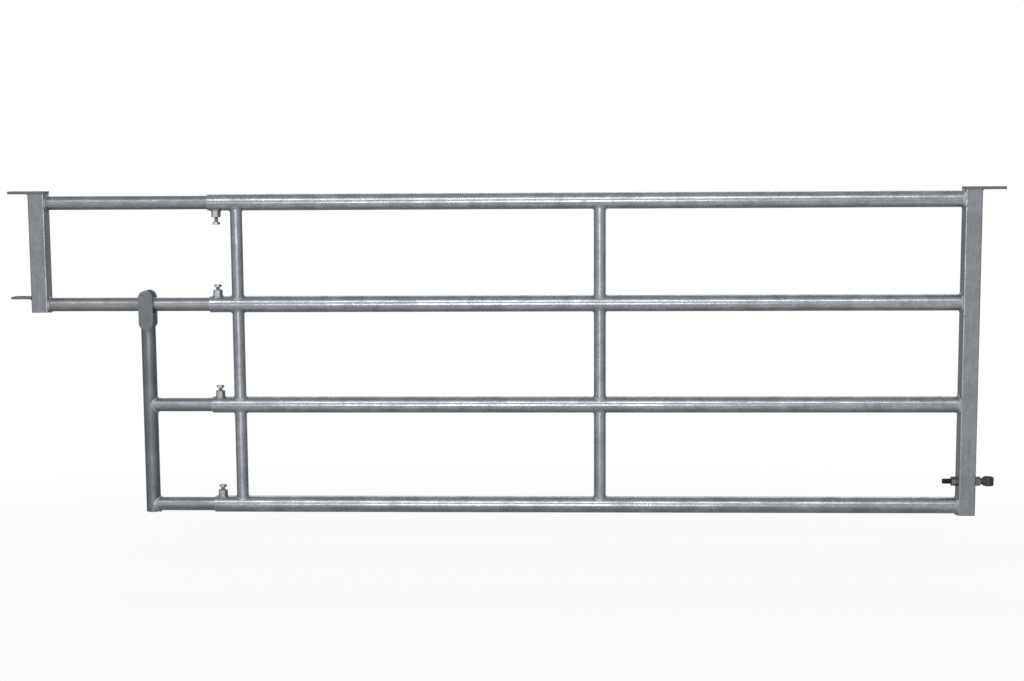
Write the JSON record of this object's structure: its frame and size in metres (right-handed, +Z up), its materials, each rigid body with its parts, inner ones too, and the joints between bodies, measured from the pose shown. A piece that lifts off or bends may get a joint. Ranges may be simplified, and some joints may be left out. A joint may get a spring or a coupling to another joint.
{
  "type": "telescopic livestock gate",
  "caption": "Galvanised tube gate whose upper and lower ends slide out of the outer rails and lock with clamp screws.",
  "frame": {"origin": "on the hinge axis, on the underside of the hinge eye, where the gate rests on the post's lower pin", "axes": "+X from the sliding latch end to the hinge end, +Z up, -Y the front seen in the picture"},
  "size_m": [2.907, 0.0586, 0.962],
  "materials": {
    "galvanised": "hot-dip galvanised, dull spangle",
    "zinc_plate": "bright zinc plate",
    "black_steel": "self-colour black steel"
  },
  "bodies": {
    "main_frame": {"heel_upright": "galvanised", "hinge_lug": "galvanised", "outer_rail_1": "galvanised", "outer_rail_2": "galvanised", "outer_rail_3": "galvanised", "outer_rail_4": "galvanised", "brace_a_1": "galvanised", "brace_a_2": "galvanised", "brace_a_3": "galvanised", "brace_b_1": "galvanised", "brace_b_2": "galvanised", "brace_b_3": "galvanised", "clamp_boss_1": "galvanised", "clamp_boss_2": "galvanised", "clamp_boss_3": "galvanised", "clamp_boss_4": "galvanised", "hinge_eye_bolt": "black_steel", "eye_washer_outer": "black_steel", "eye_nut_outer": "black_steel", "eye_washer_inner": "black_steel", "eye_nut_inner": "black_steel"},
    "lower_extension": {"drop_upright": "galvanised", "yoke_plate_front": "galvanised", "yoke_plate_back": "galvanised", "inner_rail_3": "galvanised", "inner_rail_4": "galvanised"},
    "upper_extension": {"latch_upright": "galvanised", "latch_lug_top": "galvanised", "latch_lug_lower": "galvanised", "inner_rail_1": "galvanised", "inner_rail_2": "galvanised"},
    "clamp_screw_1": {"clamp_screw_1": "zinc_plate"},
    "clamp_screw_2": {"clamp_screw_2": "zinc_plate"},
    "clamp_screw_3": {"clamp_screw_3": "zinc_plate"},
    "clamp_screw_4": {"clamp_screw_4": "zinc_plate"}
  },
  "joints": [
    {"name": "lower_slide", "type": "slide", "parent": "main_frame", "child": "lower_extension", "axis": [-1, 0, 0], "range_m": [-0.155, 0.4]},
    {"name": "upper_slide", "type": "slide", "parent": "lower_extension", "child": "upper_extension", "axis": [-1, 0, 0], "range_m": [-0.26, 0.16]},
    {"name": "clamp_screw_1_thread", "type": "slide", "parent": "main_frame", "child": "clamp_screw_1", "axis": [0, 0, -1], "range_m": [0, 0.007]},
    {"name": "clamp_screw_2_thread", "type": "slide", "parent": "main_frame", "child": "clamp_screw_2", "axis": [0, 0, 1], "range_m": [0, 0.007]},
    {"name": "clamp_screw_3_thread", "type": "slide", "parent": "main_frame", "child": "clamp_screw_3", "axis": [0, 0, 1], "range_m": [0, 0.007]},
    {"name": "clamp_screw_4_thread", "type": "slide", "parent": "main_frame", "child": "clamp_screw_4", "axis": [0, 0, 1], "range_m": [0, 0.007]}
  ]
}
